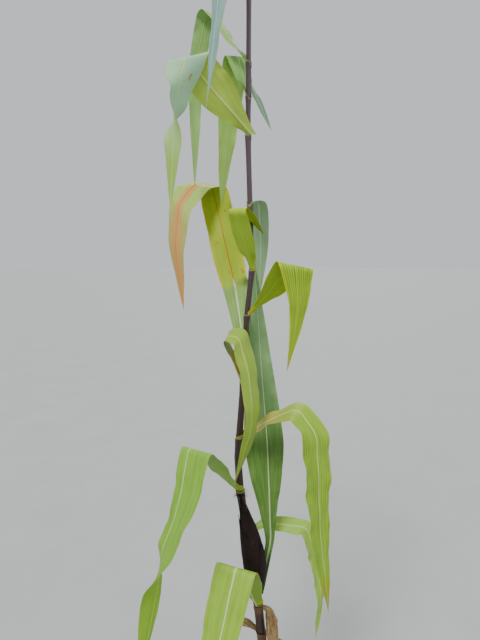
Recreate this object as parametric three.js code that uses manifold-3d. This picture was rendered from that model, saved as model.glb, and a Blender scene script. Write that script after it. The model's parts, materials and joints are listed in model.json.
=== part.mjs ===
// A field maize plant about three metres tall, leaning a little, with one dark ear, folded and
// drooping leaf blades, four withered leaves near its foot and an open tassel.
// Sizes are in millimetres, angles in degrees, +Z is up. The origin is the middle of the
// stem's flat foot on the ground. Headings are counted from +X towards +Y.
import * as THREE from 'three';
import Module from 'manifold-3d';

// Stem: how far it bows sideways and how thick it is at some heights
const STEM_TOP = 2620;
const STEM_SIDES = 10;
const STEM_BOW = [[0, 0], [420, -25], [550, -38], [909, -92], [1010, -98], [1100, -92], [1215, -84],
  [1330, -78], [1420, -73], [1542, -60], [1720, -66], [1870, -71], [2210, -70], [3000, -60]];
const STEM_RADIUS = [[0, 15], [500, 12.5], [900, 10.5], [1200, 7.5], [1600, 6.2], [2200, 5.2],
  [2620, 3]];
const NODE_HEIGHTS = [55, 130, 240, 350, 440, 540, 710, 895, 1055, 1216, 1315, 1405, 1527, 1705,
  1885, 1970, 2052, 2225, 2365, 2475];
const NODE_SWELL = 1.5;
const NODE_HALF = 12;

// Prop roots that brace the foot
const PROP_COUNT = 9;
const PROP_TOP = 62;
const PROP_REACH = 52;
const PROP_RADIUS = 3.6;
const PROP_SIDES = 6;
const PROP_LOWER = 16;
const PROP_SHORTER = 13;
const PROP_STRAY = 9;
const PROP_DEPTH = 12;

// Ear
const EAR_FROM = 596;
const EAR_LONG = 296;
const EAR_RADIUS = 32;
const EAR_LEAN = 12;
const EAR_SIDES = 12;
const EAR_GIRTH = [[0, 0.34], [0.05, 0.42], [0.13, 0.66], [0.24, 0.88], [0.36, 0.99], [0.5, 1],
  [0.63, 0.9], [0.75, 0.7], [0.86, 0.45], [0.94, 0.24], [1, 0.08]];

// Blades
const BLADE_THICK = 2.2;
const FOLD_GAP = 0.8;
const SEAT_GAP = 0.35;
const SET_IN = 1.5;
const DISH = 0.1;
const FINE_STEP = 2;
const LONGEST_STEP = 62;
const MOST_TURN = 17;

// Each leaf starts at a collar on the stem and runs on in straight lengths joined by soft bends.
// A run is its length, the heading and the lift of its midrib, then the heading and the tilt of
// its right-hand margin. soft is how long each bend is, and fold is the bend where the blade is
// creased and so made as two pieces.
const LEAVES = {
  leaf_1: {
    collar: 547, width: 115, fold: 0, soft: [36],
    runs: [[254, 244, 58.5, -23], [530, 236, -66, -25]],
  },
  leaf_2: {
    collar: 575, width: 114, neck: 0.2, narrow: 0.12, wide: 0.48, taper: 1.2, fold: null,
    soft: [60, 150, 150],
    runs: [[165, 32, 77, 170], [190, 165, 86, 180], [340, 140, 85, 180], [310, 195, 87, 180]],
  },
  leaf_3: {
    collar: 909, width: 98, fold: 0, soft: [30, 140, 170],
    runs: [[265, 235, 47, -34], [130, 238, -73, -40], [195, 199, -66, -58], [325, 195, -80, -140]],
  },
  leaf_4: {
    collar: 1070, width: 104, neck: 0.35, fold: 1, soft: [50, 50, 60, 100],
    runs: [[100, 327, 37, 80, 10], [100, 332, 31, 75, 10], [80, 318, -46, 50], [270, 323, -86, 40],
      [222, 0, -82, 35]],
  },
  leaf_5: {
    collar: 1231, width: 72, taper: 2.6, fold: 1, soft: [50, 40, 120, 110],
    runs: [[146, 214, 67.5, 262, -6], [46, 319, 4, 229, -26], [118, 314, -68, 230],
      [122, 290, -85, 232], [164, 186, -72, 225]],
  },
  leaf_6: {
    collar: 1330, width: 96, taper: 2.8, fold: 1, soft: [20, 60, 40, 60, 100],
    runs: [[180, 113, 69, 190], [322, 118, 63, 156, -12], [80, 232, -12, 150, 12],
      [75, 230, -44, 152, 30], [120, 245, -77, 148, 10], [180, 345, -83, 142, 5]],
  },
  leaf_7: {
    collar: 1420, width: 95, neck: 0.12, wide: 0.44, taper: 0.8, fold: 0, soft: [36, 140],
    runs: [[225, 312, 40.5, 205, 24], [110, 60, -80, 198, 10], [166, 155, -79, 200, 6]],
  },
  leaf_8: {
    collar: 1542, width: 64, fold: 0, soft: [34, 50],
    runs: [[176, 241, 62, 324, -2], [60, 52, -22, 323, 1], [70, 50, -39, 320, 2]],
  },
  leaf_9: {
    collar: 1720, width: 52, fold: 1, soft: [50, 60],
    runs: [[75, 71, 8, 165], [125, 78, -71, 170], [160, 114, -86, 175]],
  },
  leaf_10: {
    collar: 1890, width: 95, neck: 0.3, wide: 0.24, stand: [14, -6], fold: 0, soft: [34, 90, 110],
    runs: [[237, 205, 43.5, 0, 37], [50, 200, -75, 5, -14], [105, 198, -76, 62], [200, 190, -87, 150]],
  },
  leaf_11: {
    collar: 1985, width: 70, fold: 0, soft: [36, 60],
    runs: [[135, 118, 66, 195], [120, 120, -75, 204], [275, 152, -83, 204]],
  },
  leaf_12: {
    collar: 2022, width: 26, fold: null, soft: [],
    runs: [[132, 12, -64, 50, 20]],
  },
  leaf_13: {
    collar: 2067, width: 48, fold: 0, soft: [50, 60],
    runs: [[186, 153, 53, 70, 30], [150, 172, -78, 20], [300, 200, -89, 20]],
  },
  leaf_14: {
    collar: 2240, width: 54, fold: 0, soft: [40, 60],
    runs: [[150, 240, 60, 140], [155, 250, -72, 140], [310, 230, -80, 140]],
  },
  leaf_15: {
    collar: 2380, width: 46, fold: 0, soft: [50, 50],
    runs: [[200, 345, 62, 75], [110, 345, -20, 75], [90, 340, -66, 75]],
  },
  leaf_16: {
    collar: 2490, width: 36, fold: null, soft: [60, 60],
    runs: [[110, 190, 68, 100], [80, 190, 30, 100], [60, 190, -20, 100]],
  },
  husk_leaf: {
    collar: 778, width: 52, fold: 1, soft: [40, 40, 60, 60],
    runs: [[78, 48, -8, 132, 20], [128, 4, -10, 100, 42], [112, 16, -73, 32], [125, 0, -81, 22],
      [170, 176, -85, 30]],
  },
  dry_leaf_1: {
    collar: 540, width: 46, fold: 0, soft: [24, 60],
    runs: [[22, 340, -10, 80], [150, 330, -78, 30], [130, 290, -84, 0]],
  },
  dry_leaf_2: {
    collar: 452, width: 52, fold: 0, soft: [30, 60],
    runs: [[60, 165, 24, 260], [160, 175, -72, 240], [130, 200, -84, 200]],
  },
  dry_leaf_3: {
    collar: 362, width: 56, fold: 0, soft: [30, 60],
    runs: [[75, 35, 14, 120], [130, 25, -66, 150], [110, 60, -80, 150]],
  },
  dry_leaf_4: {
    collar: 252, width: 54, fold: 0, soft: [30, 60],
    runs: [[90, 285, 22, 15], [110, 280, -55, 20], [85, 250, -70, 20]],
  },
};

// Tassel
const SPIKE_LONG = 360;
const SPIKE_RADIUS = 4;
const SPIKE_TAPER = 0.6;
const SPIKE_SIDES = 8;
const BRANCH_COUNT = 14;
const BRANCH_RADIUS = 2.6;
const BRANCH_FROM = 25;
const BRANCH_STEP = 11;
const BRANCH_LONGEST = 250;
const BRANCH_SHORTEN = 7;
const BRANCH_SIDES = 5;
const BRANCH_TAPER = 0.35;
const BRANCH_LIFT = 58;
const BRANCH_DROOP = 105;
const BRANCH_TURN = 20;
const BRANCH_ROOT = 2;
const GOLDEN_TURN = 137.5;

const rad = THREE.MathUtils.degToRad;
const vec = (x, y, z) => new THREE.Vector3(x, y, z);
const lerp = THREE.MathUtils.lerp;

const wasm = await Module();
wasm.setup();

function readRows(rows, height) {
  if (height <= rows[0][0]) return rows[0][1];
  for (let i = 1; i < rows.length; i += 1) {
    const [low, a] = rows[i - 1];
    const [high, b] = rows[i];
    if (height <= high) return lerp(a, b, (height - low) / (high - low));
  }
  return rows[rows.length - 1][1];
}

const stemX = (height) => readRows(STEM_BOW, height);
const stemAt = (height) => vec(stemX(height), 0, height);

function stemRadius(height) {
  let radius = readRows(STEM_RADIUS, height);
  for (const node of NODE_HEIGHTS) {
    const off = Math.abs(height - node) / NODE_HALF;
    if (off < 1) radius += NODE_SWELL * (1 - off * off);
  }
  return radius;
}

function heading(turn, lift) {
  const h = rad(turn);
  const l = rad(lift);
  return vec(Math.cos(l) * Math.cos(h), Math.cos(l) * Math.sin(h), Math.sin(l));
}

// Closed skin over a row of rings with the same number of points, each ring running round +along.
// Its first and second halves are split along the same lines, so a thin plate's sides never cross.
function skin(rings) {
  const count = rings[0].length;
  const points = rings.flat();
  const faces = [];
  for (let i = 0; i + 1 < rings.length; i += 1) {
    for (let j = 0; j < count; j += 1) {
      const k = (j + 1) % count;
      const a = i * count + j;
      const b = i * count + k;
      if (j < count / 2) faces.push([a, b, b + count], [a, b + count, a + count]);
      else faces.push([a, b, a + count], [b, b + count, a + count]);
    }
  }
  const last = (rings.length - 1) * count;
  for (let j = 1; j < count / 2; j += 1) {
    const near = j - 1;
    const far = count - j;
    const quad = [near, j, far - 1, far];
    if (far - 1 === j) {
      faces.push([quad[0], quad[3], quad[1]], [last + quad[0], last + quad[1], last + quad[3]]);
    } else {
      faces.push([quad[0], quad[3], quad[2]], [quad[0], quad[2], quad[1]]);
      faces.push([last + quad[0], last + quad[1], last + quad[2]]);
      faces.push([last + quad[0], last + quad[2], last + quad[3]]);
    }
  }
  return { points, faces };
}

function geometryOf({ points, faces }) {
  const flat = [];
  for (const face of faces) {
    for (const index of face) flat.push(points[index].x, points[index].y, points[index].z);
  }
  const geometry = new THREE.BufferGeometry();
  geometry.setAttribute('position', new THREE.Float32BufferAttribute(flat, 3));
  geometry.computeVertexNormals();
  return geometry;
}

function solidOf({ points, faces }) {
  return new wasm.Manifold(new wasm.Mesh({
    numProp: 3,
    vertProperties: new Float32Array(points.flatMap((p) => [p.x, p.y, p.z])),
    triVerts: new Uint32Array(faces.flat()),
  }));
}

function fromSolid(solid) {
  const mesh = solid.getMesh();
  const points = [];
  for (let i = 0; i < mesh.vertProperties.length; i += mesh.numProp) {
    points.push(vec(...mesh.vertProperties.slice(i, i + 3)));
  }
  const faces = [];
  for (let i = 0; i < mesh.triVerts.length; i += 3) {
    faces.push([...mesh.triVerts.slice(i, i + 3)]);
  }
  return geometryOf({ points, faces });
}

// Ring of a round limb about a point, square to its direction
function ring(centre, along, radius, sides) {
  const side = Math.abs(along.z) > 0.9 ? vec(1, 0, 0) : vec(0, 0, 1);
  const u = side.clone().addScaledVector(along, -side.dot(along)).normalize();
  const v = along.clone().cross(u);
  return Array.from({ length: sides }, (_, i) => {
    const a = (2 * Math.PI * i) / sides;
    return centre.clone().addScaledVector(u, radius * Math.cos(a))
      .addScaledVector(v, radius * Math.sin(a));
  });
}

function limb(centres, radii, sides) {
  const rings = centres.map((centre, i) => {
    const before = centres[Math.max(i - 1, 0)];
    const after = centres[Math.min(i + 1, centres.length - 1)];
    return ring(centre, after.clone().sub(before).normalize(), radii[i], sides);
  });
  return skin(rings);
}

// The stem's own skin, or one that stands a little way off it
function stemSkin(off) {
  const heights = [0, 20];
  for (const node of NODE_HEIGHTS) {
    heights.push(node - NODE_HALF, node, node + NODE_HALF);
  }
  heights.push(STEM_TOP);
  const all = [];
  heights.sort((a, b) => a - b).forEach((h) => {
    const last = all[all.length - 1];
    if (last !== undefined && h - last > 90) all.push((h + last) / 2);
    if (last === undefined || h - last > 3) all.push(h);
  });
  return skin(all.map((h) => Array.from({ length: STEM_SIDES }, (_, i) => {
    const a = (2 * Math.PI * i) / STEM_SIDES;
    const r = stemRadius(h) + off;
    return vec(stemX(h) + r * Math.cos(a), r * Math.sin(a), h);
  })));
}

const nearStem = solidOf(stemSkin(SEAT_GAP));

// Stem with its prop roots, cut flat at the ground
function makeStem() {
  let solid = solidOf(stemSkin(0));
  for (let i = 0; i < PROP_COUNT; i += 1) {
    const turn = (360 / PROP_COUNT) * i + PROP_STRAY * Math.sin(3 * i);
    const top = PROP_TOP - PROP_LOWER * (i % 2);
    const reach = PROP_REACH - PROP_SHORTER * (i % 2);
    const out = heading(turn, 0);
    const centres = [0, 0.35, 0.7, 1].map((t) => vec(stemX(top), 0, 0)
      .addScaledVector(out, lerp(PROP_RADIUS, reach, t))
      .setZ(lerp(top, -PROP_DEPTH, t ** 1.4)));
    solid = solid.add(solidOf(limb(centres, centres.map(() => PROP_RADIUS), PROP_SIDES)));
  }
  return fromSolid(solid.trimByPlane([0, 0, 1], 0));
}

// Ear in its husks, close against the near side of the stem
function makeEar() {
  const radii = EAR_GIRTH.map(([, share]) => EAR_RADIUS * share);
  const centres = EAR_GIRTH.map(([t], i) => {
    const height = EAR_FROM + EAR_LONG * t;
    const stand = stemRadius(height) - SET_IN + radii[i];
    return vec(stemX(height) + EAR_LEAN * Math.sin(Math.PI * t), -stand, height);
  });
  const solid = solidOf(limb(centres, radii, EAR_SIDES));
  return fromSolid(solid.subtract(nearStem));
}

// Along, across and up from the blade for one run
function frameOf([, turn, lift, span, tilt = 0]) {
  const along = heading(turn, lift);
  const across = heading(span, tilt);
  across.addScaledVector(along, -across.dot(along)).normalize();
  const up = along.clone().cross(across);
  return new THREE.Quaternion().setFromRotationMatrix(
    new THREE.Matrix4().makeBasis(along, across, up),
  );
}

const ease = (x) => {
  const t = Math.min(Math.max(x, 0), 1);
  return t * t * (3 - 2 * t);
};

// Share of the full width at a share u of the blade's length
function outline(u, { neck = 0.45, narrow = 0, wide = 0.3, taper = 1.9 }) {
  const rise = ease((u - narrow) / (wide - narrow));
  const fall = Math.max((u - wide) / (1 - wide), 0) ** taper;
  return (neck + (1 - neck) * rise) * (1 - fall);
}

// Lays a leaf out as fine stations along its midrib
function layLeaf(leaf) {
  const { collar, width, runs, soft, stand = [0, 0] } = leaf;
  const frames = runs.map(frameOf);
  const joints = [];
  let length = 0;
  for (const run of runs) {
    length += run[0];
    joints.push(length);
  }
  joints.pop();
  const bends = joints.map((at, i) => {
    const turn = frames[i + 1].clone().multiply(frames[i].clone().invert());
    if (turn.w < 0) turn.set(-turn.x, -turn.y, -turn.z, -turn.w);
    const angle = 2 * Math.acos(Math.min(turn.w, 1));
    const axis = vec(turn.x, turn.y, turn.z).normalize();
    const half = frames[i].clone().slerp(frames[i + 1], 0.5);
    const a = axis.dot(vec(1, 0, 0).applyQuaternion(half));
    const b = axis.dot(vec(0, 1, 0).applyQuaternion(half));
    const slant = (a / b) * Math.min(angle, 1) * ease((Math.abs(b) - 0.3) / 0.4);
    return { at, slant: Math.max(Math.min(slant, 0.6), -0.6), soft: soft[i] };
  });
  const first = vec(1, 0, 0).applyQuaternion(frames[0]).setZ(0).normalize();
  const point = stemAt(collar).addScaledVector(first, stemRadius(collar) - SET_IN);
  point.add(vec(stand[0], stand[1], 0));
  const stations = [];
  const halfWidth = (s) => Math.max(0.5 * width * outline(s / length, leaf), 1.2);
  for (let s = 0; s <= length; s += FINE_STEP) {
    const turned = frames[0].clone();
    let slant = 0;
    bends.forEach((bend, i) => {
      const share = ease((s - bend.at) / bend.soft + 0.5);
      if (share > 0) turned.slerpQuaternions(frames[i], frames[i + 1], share);
      const off = (Math.abs(s - bend.at) - bend.soft / 2) / (1.1 * width);
      slant += bend.slant * (1 - ease(off));
    });
    const along = vec(1, 0, 0).applyQuaternion(turned);
    const across = vec(0, 1, 0).applyQuaternion(turned);
    const up = vec(0, 0, 1).applyQuaternion(turned);
    if (s > 0) point.addScaledVector(along, FINE_STEP);
    const reach = [-1, 1].map((side) => {
      let t = side * halfWidth(s);
      for (let i = 0; i < 5; i += 1) t = side * halfWidth(s + t * slant);
      return t;
    });
    stations.push({ s, point: point.clone(), along, across, up, slant, reach });
  }
  return { stations, bends };
}

// Station at any place along the midrib
function stationAt(stations, s) {
  const i = Math.min(Math.floor(s / FINE_STEP), stations.length - 2);
  const [a, b] = [stations[i], stations[i + 1]];
  const share = (s - a.s) / FINE_STEP;
  const between = (key) => a[key].clone().lerp(b[key], share);
  return {
    s,
    point: between('point'),
    along: between('along').normalize(),
    across: between('across').normalize(),
    up: between('up').normalize(),
    slant: lerp(a.slant, b.slant, share),
    reach: a.reach.map((t, side) => lerp(t, b.reach[side], share)),
  };
}

// Thin blade between two places along the midrib, cut back where it would run into the stem
function makeBlade(stations, from, to) {
  const kept = [];
  const inside = [
    stationAt(stations, from),
    ...stations.filter(({ s }) => s > from + 1 && s < to - 1),
    stationAt(stations, to),
  ];
  inside.forEach((station, i) => {
    const last = kept[kept.length - 1];
    const bent = last && THREE.MathUtils.radToDeg(
      Math.max(last.along.angleTo(station.along), last.across.angleTo(station.across)),
    );
    const far = last && station.s - last.s > LONGEST_STEP;
    if (!last || bent > MOST_TURN || far || i === inside.length - 1) kept.push(station);
  });
  const rings = kept.map(({ point, along, across, up, slant, reach }) => {
    const rows = [reach[1], 0, reach[0]].map((t) => point.clone()
      .addScaledVector(across, t)
      .addScaledVector(along, t * slant)
      .addScaledVector(up, Math.abs(t) * DISH));
    const top = rows.map((p) => p.clone().addScaledVector(up, BLADE_THICK / 2));
    const under = rows.map((p) => p.clone().addScaledVector(up, -BLADE_THICK / 2));
    return [...top, ...under.reverse()];
  });
  const solid = solidOf(skin(rings));
  const clear = solid.subtract(nearStem);
  if (clear.volume() > solid.volume() - 0.001) return fromSolid(solid);
  const pieces = clear.decompose().sort((a, b) => b.volume() - a.volume());
  return fromSolid(pieces[0]);
}

// Upright middle spike of the tassel
function makeSpike() {
  const shares = [0, 0.3, 0.6, 0.85, 1];
  const centres = shares.map((t) => stemAt(STEM_TOP + SEAT_GAP + SPIKE_LONG * t));
  const radii = shares.map((t) => SPIKE_RADIUS * (1 - SPIKE_TAPER * t));
  return geometryOf(limb(centres, radii, SPIKE_SIDES));
}

// One side branch of the tassel, which rises and then droops
function makeBranch(i) {
  const height = STEM_TOP + BRANCH_FROM + BRANCH_STEP * i;
  const length = BRANCH_LONGEST - BRANCH_SHORTEN * i;
  const turn = GOLDEN_TURN * i + BRANCH_TURN;
  const core = SPIKE_RADIUS * (1 - (SPIKE_TAPER * (height - STEM_TOP)) / SPIKE_LONG);
  const root = stemAt(height).addScaledVector(heading(turn, 0), core + SEAT_GAP);
  const shares = [0, 0.12, 0.25, 0.4, 0.55, 0.7, 0.85, 1];
  const centres = [];
  let before = 0;
  const point = root.clone();
  for (const t of shares) {
    const lift = BRANCH_LIFT - BRANCH_DROOP * ((t + before) / 2);
    point.addScaledVector(heading(turn, lift), length * (t - before));
    centres.push(point.clone());
    before = t;
  }
  centres[0].addScaledVector(heading(turn, 0), BRANCH_ROOT);
  const radii = shares.map((t) => BRANCH_RADIUS * (1 - BRANCH_TAPER * t));
  return geometryOf(limb(centres, radii, BRANCH_SIDES));
}

const group = new THREE.Group();

function add(name, geometry, colour) {
  const mesh = new THREE.Mesh(geometry, new THREE.MeshStandardMaterial({ color: colour }));
  mesh.name = name;
  group.add(mesh);
}

add('stem', makeStem(), 0x4a3040);
add('ear', makeEar(), 0x2a1a20);
for (const [name, leaf] of Object.entries(LEAVES)) {
  const { stations, bends } = layLeaf(leaf);
  const colour = name.startsWith('dry') ? 0xa08050 : 0x8fae5a;
  const end = stations[stations.length - 1].s;
  if (leaf.fold === null) {
    add(name, makeBlade(stations, 0, end), colour);
  } else {
    const crease = bends[leaf.fold].at;
    add(`${name}_inner`, makeBlade(stations, 0, crease - FOLD_GAP / 2), colour);
    add(`${name}_outer`, makeBlade(stations, crease + FOLD_GAP / 2, end), colour);
  }
}
add('tassel_spike', makeSpike(), 0x6a4a48);
for (let i = 0; i < BRANCH_COUNT; i += 1) add(`tassel_branch_${i + 1}`, makeBranch(i), 0x6a4a48);

export default group;
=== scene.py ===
"""A field maize plant: purple-brown stalk with sheaths, folded and drooping blades, a dark ear,
withered lower leaves and an open tassel. Lengths are in metres unless a name or a heading says
millimetres, angles are in degrees, and headings are counted from +X towards +Y."""
import json
import math
import random

import bpy
import numpy as np
from mathutils import Matrix, Quaternion, Vector, noise


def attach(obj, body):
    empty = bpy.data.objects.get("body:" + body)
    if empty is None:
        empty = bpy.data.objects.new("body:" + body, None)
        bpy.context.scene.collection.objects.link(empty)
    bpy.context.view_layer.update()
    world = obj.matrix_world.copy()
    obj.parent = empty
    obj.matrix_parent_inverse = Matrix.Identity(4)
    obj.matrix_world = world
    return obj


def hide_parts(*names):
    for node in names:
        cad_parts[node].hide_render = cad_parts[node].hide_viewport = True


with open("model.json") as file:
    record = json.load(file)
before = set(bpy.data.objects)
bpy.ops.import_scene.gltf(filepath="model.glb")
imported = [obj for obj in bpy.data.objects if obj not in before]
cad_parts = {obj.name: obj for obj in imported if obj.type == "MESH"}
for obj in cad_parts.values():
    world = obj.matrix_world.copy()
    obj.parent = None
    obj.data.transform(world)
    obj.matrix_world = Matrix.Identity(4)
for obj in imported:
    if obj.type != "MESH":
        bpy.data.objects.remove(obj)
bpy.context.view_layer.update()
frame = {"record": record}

MM = 0.001

# Camera: the photograph's place, pitch and angle of view
CAMERA_AT = (-0.092, -1.3, 1.6)
CAMERA_PITCH = 8.5
CAMERA_LENS = 27.0
CAMERA_SENSOR = 36.0

# Stage: the floor's radius in metres, and each lamp's power, softness and turn
FLOOR_RADIUS = 40.0
FLOOR_SIDES = 96
LAMPS = {"key": (3.5, 20, (38, 0, -30)), "fill": (0.9, 40, (60, 0, 60)),
         "back": (0.9, 30, (50, 0, 170))}

# Stalk, in millimetres: bow and thickness at some heights, and the nodes
STEM_TOP = 2620
STEM_BOW = [(0, 0), (420, -25), (550, -38), (909, -92), (1010, -98), (1100, -92), (1215, -84),
            (1330, -78), (1420, -73), (1542, -60), (1720, -66), (1870, -71), (2210, -70), (3000, -60)]
STEM_RADIUS = [(0, 15), (500, 12.5), (900, 10.5), (1200, 7.5), (1600, 6.2), (2200, 5.2), (2620, 3)]
NODE_HEIGHTS = [55, 130, 240, 350, 440, 540, 710, 895, 1055, 1216, 1315, 1405, 1527, 1705, 1885,
                1970, 2052, 2225, 2365, 2475]
NODE_SWELL = 1.5
NODE_HALF = 12
NEAR_NODE = (-4, -3, -1.5, 1.5, 3, 4, 6)
STEM_SIDES = 36
STEM_STEP = 5
STEM_SINK = 0.3
FLUTES = 11
FLUTE_DEEP = 0.12

# Prop roots, in millimetres
PROP_COUNT = 9
PROP_TOP = 62
PROP_FROM = 6
PROP_REACH = 52
PROP_RADIUS = 3.6
PROP_LOWER = 16
PROP_SHORTER = 13
PROP_STRAY = 9
PROP_ROWS = 15
PROP_SIDES = 14

# Sheaths, in millimetres. The overlap is a share of half a turn.
NO_SHEATH = ("husk_leaf", "leaf_2", "leaf_12")
SHEATH_SIDES = 34
SHEATH_STEP = 6
SHEATH_OVERLAP = 0.35
SHEATH_OFF = 0.4
SHEATH_THICK = 0.35
SHEATH_FLARE = 0.8
SHEATH_DIP = 9

# Ear, in millimetres
EAR_FROM = 596
EAR_LONG = 296
EAR_RADIUS = 32
EAR_LEAN = 12
EAR_SET_IN = 1.5
EAR_GIRTH = [(0, 0.34), (0.05, 0.42), (0.13, 0.66), (0.24, 0.88), (0.36, 0.99), (0.5, 1),
             (0.63, 0.9), (0.75, 0.7), (0.86, 0.45), (0.94, 0.24), (1, 0.08)]
EAR_ROWS = 30
EAR_SIDES = 28
EAR_SHRINK = 1.6

# Husks: the heading of each one's middle, where it starts and ends as shares of the ear, half of
# its spread in degrees, and how far out it lies in millimetres
HUSKS = [(250, 0.02, 0.98, 78, 0.3), (20, 0.02, 0.93, 74, 0.9), (135, 0.02, 0.95, 74, 0.9),
         (300, 0.0, 0.86, 62, 1.6), (190, 0.0, 0.82, 60, 1.6), (240, 0.0, 0.7, 52, 2.3),
         (330, 0.0, 0.58, 44, 2.6)]
HUSK_ROWS = 34
HUSK_COLUMNS = 15
HUSK_SINK = 0.9
HUSK_THICK = 0.45
HUSK_RIDGE = 0.35
HUSK_LOOSE = 3.2
HUSK_PAST = 0.035
PALE_HUSKS = (1, 2)
PALE_ROWS = 4

# Silk, in millimetres
SILK_COUNT = 70
SILK_STEPS = 7
SILK_RADIUS = 0.22
SILK_LONG = (16, 34)
SILK_DROOP = (40, 150)

# Blades, in millimetres. WAVE_LONG is the side, the length and the shift of each margin's waves,
# and WRAP_MOST is in radians.
SET_IN = 1.5
DISH = 0.1
FINE_STEP = 2
ROW_STEP = 5
COLUMNS = 42
SHEET_THICK = 0.5
RIB_SINK = 0.5
RIB_STAND = 2.4
UNEVEN = 2.2
DRY_UNEVEN = 9
WAVE_LONG = ((-1, 118, 0.0), (1, 141, 1.9))
WRAP_LONG = 55
WRAP_CLEAR = 1.6
WRAP_MOST = 2.7
FINE_VEIN_GAP = 1.9
DRY_VEIN_GAP = 2.2

# Tassel, in millimetres
SPIKE_LONG = 360
SPIKE_RADIUS = 4
SPIKE_TAPER = 0.6
BRANCH_COUNT = 14
BRANCH_RADIUS = 2.6
BRANCH_TAPER = 0.35
BRANCH_FROM = 25
BRANCH_STEP = 11
BRANCH_LONGEST = 250
BRANCH_SHORTEN = 7
BRANCH_LIFT = 58
BRANCH_DROOP = 105
BRANCH_TURN = 20
GOLDEN_TURN = 137.5
LIMB_STEPS = 22
LIMB_SIDES = 10
SPIKELET_SIDES = 5
SPIKELET_LONG = (8.5, 11.5)
SPIKELET_WIDE = (1.2, 1.6)
SPIKE_GAP, SPIKE_ROWS = 6.5, 4
BRANCH_GAP, BRANCH_ROWS = 6.0, 3

# How far a colour is pushed away from grey, which the view's tone curve takes back
VIVID = 1.15


def srgb(red, green, blue):
    """The deeper colour of a surface that shows as 0 to 255 values in bright daylight."""
    def linear(value):
        value /= 255
        value = value / 12.92 if value <= 0.04045 else ((value + 0.055) / 1.055) ** 2.4
        return 0.85 * value ** 1.35
    shades = [linear(value) for value in (red, green, blue)]
    grey = sum(shades) / 3
    return tuple(max(grey + VIVID * (shade - grey), 0.002) for shade in shades) + (1.0,)


def ease(x):
    x = np.clip(x, 0, 1)
    return x * x * (3 - 2 * x)


def read_rows(rows, value):
    return float(np.interp(value, [row[0] for row in rows], [row[1] for row in rows]))


def stem_x(height):
    return read_rows(STEM_BOW, height)


def stem_radius(height):
    radius = read_rows(STEM_RADIUS, height)
    for node in NODE_HEIGHTS:
        off = abs(height - node) / NODE_HALF
        if off < 1:
            radius += NODE_SWELL * (1 - off * off)
    return radius


def stem_point(height, radius, angle):
    """A point round the stalk's middle line, in metres, from millimetres and radians."""
    x, y = stem_x(height) + radius * math.cos(angle), radius * math.sin(angle)
    return x * MM, y * MM, height * MM


def heading(turn, lift):
    turn, lift = math.radians(turn), math.radians(lift)
    return Vector((math.cos(lift) * math.cos(turn), math.cos(lift) * math.sin(turn), math.sin(lift)))


# Materials

class Tree:
    """Short ways to write a material's nodes."""

    def __init__(self, name):
        self.material = bpy.data.materials.new(name)
        self.material.use_nodes = True
        self.nodes = self.material.node_tree.nodes
        self.links = self.material.node_tree.links
        self.shader = self.nodes["Principled BSDF"]

    def put(self, socket, value):
        if isinstance(value, bpy.types.NodeSocket):
            self.links.new(value, socket)
        else:
            socket.default_value = value

    def number(self, operation, a, b=0.0, c=0.0, clamp=False):
        node = self.nodes.new("ShaderNodeMath")
        node.operation = operation
        node.use_clamp = clamp
        for socket, value in zip(node.inputs, (a, b, c)):
            self.put(socket, value)
        return node.outputs[0]

    def times(self, a, b):
        return self.number("MULTIPLY", a, b)

    def plus(self, a, b):
        return self.number("ADD", a, b)

    def ramp(self, value, start, stop, low=0.0, high=1.0):
        """Smooth step from low at start to high at stop."""
        node = self.nodes.new("ShaderNodeMapRange")
        node.interpolation_type = "SMOOTHSTEP"
        for key, given in zip(("Value", "From Min", "From Max", "To Min", "To Max"),
                              (value, start, stop, low, high)):
            self.put(node.inputs[key], given)
        return node.outputs[0]

    def mix(self, share, a, b):
        node = self.nodes.new("ShaderNodeMix")
        node.data_type = "RGBA"
        self.put(node.inputs["Factor"], share)
        self.put(node.inputs[6], a)
        self.put(node.inputs[7], b)
        return node.outputs[2]

    def attributes(self, *names):
        for name in names:
            node = self.nodes.new("ShaderNodeAttribute")
            node.attribute_name = name
            yield node.outputs["Fac"]

    def place(self, scale):
        """The place on the object, in metres, times a scale for each axis."""
        node = self.nodes.new("ShaderNodeVectorMath")
        node.operation = "MULTIPLY"
        self.put(node.inputs[0], self.nodes.new("ShaderNodeTexCoord").outputs["Object"])
        node.inputs[1].default_value = scale
        return node.outputs[0]

    def noise(self, vector, detail=3.0, rough=0.5):
        node = self.nodes.new("ShaderNodeTexNoise")
        self.put(node.inputs["Vector"], vector)
        node.inputs["Scale"].default_value = 1.0
        node.inputs["Detail"].default_value = detail
        node.inputs["Roughness"].default_value = rough
        return node.outputs["Fac"]

    def streaks(self, across, along, across_scale, along_scale, detail=3.0, rough=0.5):
        """Noise that is drawn out lengthwise."""
        node = self.nodes.new("ShaderNodeCombineXYZ")
        self.put(node.inputs[0], self.times(across, across_scale))
        self.put(node.inputs[1], self.times(along, along_scale))
        return self.noise(node.outputs[0], detail, rough)

    def lines(self, across, gap):
        """Up and down between 0 and half, once for each gap in millimetres."""
        return self.number("PINGPONG", self.times(across, 1 / (gap * MM)), 0.5)

    def bump(self, height, strength, distance):
        node = self.nodes.new("ShaderNodeBump")
        node.inputs["Strength"].default_value = strength
        node.inputs["Distance"].default_value = distance
        self.put(node.inputs["Height"], height)
        self.put(self.shader.inputs["Normal"], node.outputs[0])

    def finish(self, colour, roughness, specular):
        self.put(self.shader.inputs["Base Color"], colour)
        self.put(self.shader.inputs["Roughness"], roughness)
        self.shader.inputs["Specular IOR Level"].default_value = specular
        return self.material


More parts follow.
